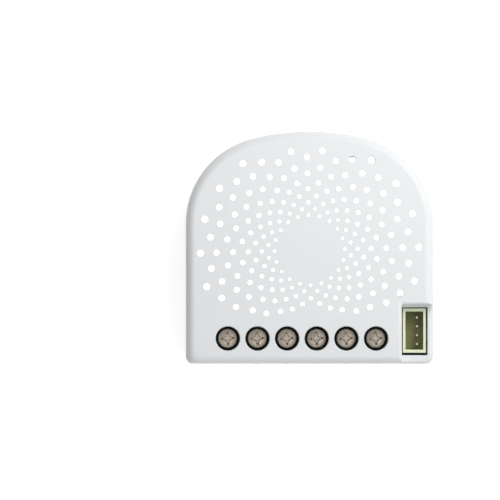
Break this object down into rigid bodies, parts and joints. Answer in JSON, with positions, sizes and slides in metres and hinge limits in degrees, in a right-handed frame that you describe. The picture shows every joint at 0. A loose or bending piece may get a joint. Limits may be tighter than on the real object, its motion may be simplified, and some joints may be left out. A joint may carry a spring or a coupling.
{
  "type": "smart relay module",
  "caption": "Small in-wall switching module: white case with a rounded crown, perforated face, green screw-terminal row, corner pin header and button.",
  "frame": {"origin": "middle of the flat back, which is the bottom of the part as it lies", "axes": "+X along the terminal row to the header corner, +Y from the terminal edge to the rounded crown, +Z out of the perforated face"},
  "size_m": [0.042, 0.0395, 0.0206],
  "materials": {
    "case_white": "fine satin moulded",
    "diffuser_white": "matte translucent sheet",
    "terminal_green": "satin moulded",
    "tinned_contact": "bright tin plate",
    "header_ivory": "satin moulded",
    "header_pin_plate": "tin plate",
    "board_laminate": "solder-masked glass laminate",
    "relay_black": "moulded",
    "bobbin_natural": "natural nylon",
    "copper_winding": "enamelled copper",
    "soft_iron": "zinc-plated soft iron",
    "contact_alloy": "bronze spring strip",
    "capacitor_yellow": "moulded box",
    "varistor_blue": "dipped epoxy",
    "aluminium_can": "drawn can",
    "ferrite": "ground ferrite",
    "chip_epoxy": "moulded epoxy",
    "tin_plate": "tin plate",
    "led_resin": "clear resin",
    "clear_pipe": "clear acrylic",
    "screw_nickel": "nickel plate",
    "cage_zinc": "zinc plate"
  },
  "bodies": {
    "module": {"antenna": "copper_winding", "bridge_rectifier": "chip_epoxy", "bulk_capacitors": "aluminium_can", "chip_parts": "chip_epoxy", "control_board": "board_laminate", "crystal": "tin_plate", "diffuser_sheet": "diffuser_white", "film_capacitor": "capacitor_yellow", "front_cover": "case_white", "fuse": "relay_black", "header_pins": "header_pin_plate", "header_shell": "header_ivory", "light_pipe": "clear_pipe", "link_pins": "header_pin_plate", "link_strips": "relay_black", "main_board": "board_laminate", "metering_shunt": "contact_alloy", "microcontroller": "chip_epoxy", "radio_board": "board_laminate", "rear_cover": "case_white", "relay_base": "relay_black", "relay_bobbin": "bobbin_natural", "relay_coil_pins": "tinned_contact", "relay_core": "soft_iron", "relay_cover": "relay_black", "relay_fixed_contacts": "contact_alloy", "relay_winding": "copper_winding", "relay_yoke": "soft_iron", "shield_can": "tin_plate", "status_led": "led_resin", "supply_chip": "chip_epoxy", "switch_body": "tin_plate", "terminal_contacts": "tinned_contact", "terminal_housing": "terminal_green", "transformer_bobbin": "relay_black", "transformer_core": "ferrite", "transformer_winding": "copper_winding", "varistor": "varistor_blue"},
    "screw_1": {"terminal_screw_1": "screw_nickel"},
    "cage_1": {"clamp_cage_1": "cage_zinc"},
    "screw_2": {"terminal_screw_2": "screw_nickel"},
    "cage_2": {"clamp_cage_2": "cage_zinc"},
    "screw_3": {"terminal_screw_3": "screw_nickel"},
    "cage_3": {"clamp_cage_3": "cage_zinc"},
    "screw_4": {"terminal_screw_4": "screw_nickel"},
    "cage_4": {"clamp_cage_4": "cage_zinc"},
    "screw_5": {"terminal_screw_5": "screw_nickel"},
    "cage_5": {"clamp_cage_5": "cage_zinc"},
    "screw_6": {"terminal_screw_6": "screw_nickel"},
    "cage_6": {"clamp_cage_6": "cage_zinc"},
    "action_button": {"action_button": "case_white", "switch_plunger": "relay_black"},
    "armature": {"relay_armature": "soft_iron", "relay_carrier": "bobbin_natural", "relay_bridge": "contact_alloy"}
  },
  "joints": [
    {"name": "terminal_screw_1_turn", "type": "hinge", "parent": "module", "child": "screw_1", "pos_m": [-0.01384, -0.01535, 0.0175], "axis": [0, 0, -1], "range_deg": [0, 1836]},
    {"name": "clamp_cage_1_lift", "type": "slide", "parent": "module", "child": "cage_1", "axis": [0, 0, 1], "range_m": [0, 0.0025]},
    {"name": "terminal_screw_2_turn", "type": "hinge", "parent": "module", "child": "screw_2", "pos_m": [-0.00884, -0.01535, 0.0175], "axis": [0, 0, -1], "range_deg": [0, 1836]},
    {"name": "clamp_cage_2_lift", "type": "slide", "parent": "module", "child": "cage_2", "axis": [0, 0, 1], "range_m": [0, 0.0025]},
    {"name": "terminal_screw_3_turn", "type": "hinge", "parent": "module", "child": "screw_3", "pos_m": [-0.00384, -0.01535, 0.0175], "axis": [0, 0, -1], "range_deg": [0, 1836]},
    {"name": "clamp_cage_3_lift", "type": "slide", "parent": "module", "child": "cage_3", "axis": [0, 0, 1], "range_m": [0, 0.0025]},
    {"name": "terminal_screw_4_turn", "type": "hinge", "parent": "module", "child": "screw_4", "pos_m": [0.00116, -0.01535, 0.0175], "axis": [0, 0, -1], "range_deg": [0, 1836]},
    {"name": "clamp_cage_4_lift", "type": "slide", "parent": "module", "child": "cage_4", "axis": [0, 0, 1], "range_m": [0, 0.0025]},
    {"name": "terminal_screw_5_turn", "type": "hinge", "parent": "module", "child": "screw_5", "pos_m": [0.00616, -0.01535, 0.0175], "axis": [0, 0, -1], "range_deg": [0, 1836]},
    {"name": "clamp_cage_5_lift", "type": "slide", "parent": "module", "child": "cage_5", "axis": [0, 0, 1], "range_m": [0, 0.0025]},
    {"name": "terminal_screw_6_turn", "type": "hinge", "parent": "module", "child": "screw_6", "pos_m": [0.01116, -0.01535, 0.0175], "axis": [0, 0, -1], "range_deg": [0, 1836]},
    {"name": "clamp_cage_6_lift", "type": "slide", "parent": "module", "child": "cage_6", "axis": [0, 0, 1], "range_m": [0, 0.0025]},
    {"name": "action_button_press", "type": "slide", "parent": "module", "child": "action_button", "axis": [0, 0, -1], "range_m": [0, 0.00025], "stiffness_N_per_m": 400},
    {"name": "relay_armature_pull", "type": "hinge", "parent": "module", "child": "armature", "pos_m": [-0.00705, -0.00375, 0.0127], "axis": [0, 1, 0], "range_deg": [0, 5], "stiffness_Nm_per_rad": 0.01}
  ],
  "couplings": [
    {"joint": "terminal_screw_1_turn", "follows": "clamp_cage_1_lift", "rad_per_m": 12566},
    {"joint": "terminal_screw_2_turn", "follows": "clamp_cage_2_lift", "rad_per_m": 12566},
    {"joint": "terminal_screw_3_turn", "follows": "clamp_cage_3_lift", "rad_per_m": 12566},
    {"joint": "terminal_screw_4_turn", "follows": "clamp_cage_4_lift", "rad_per_m": 12566},
    {"joint": "terminal_screw_5_turn", "follows": "clamp_cage_5_lift", "rad_per_m": 12566},
    {"joint": "terminal_screw_6_turn", "follows": "clamp_cage_6_lift", "rad_per_m": 12566}
  ]
}
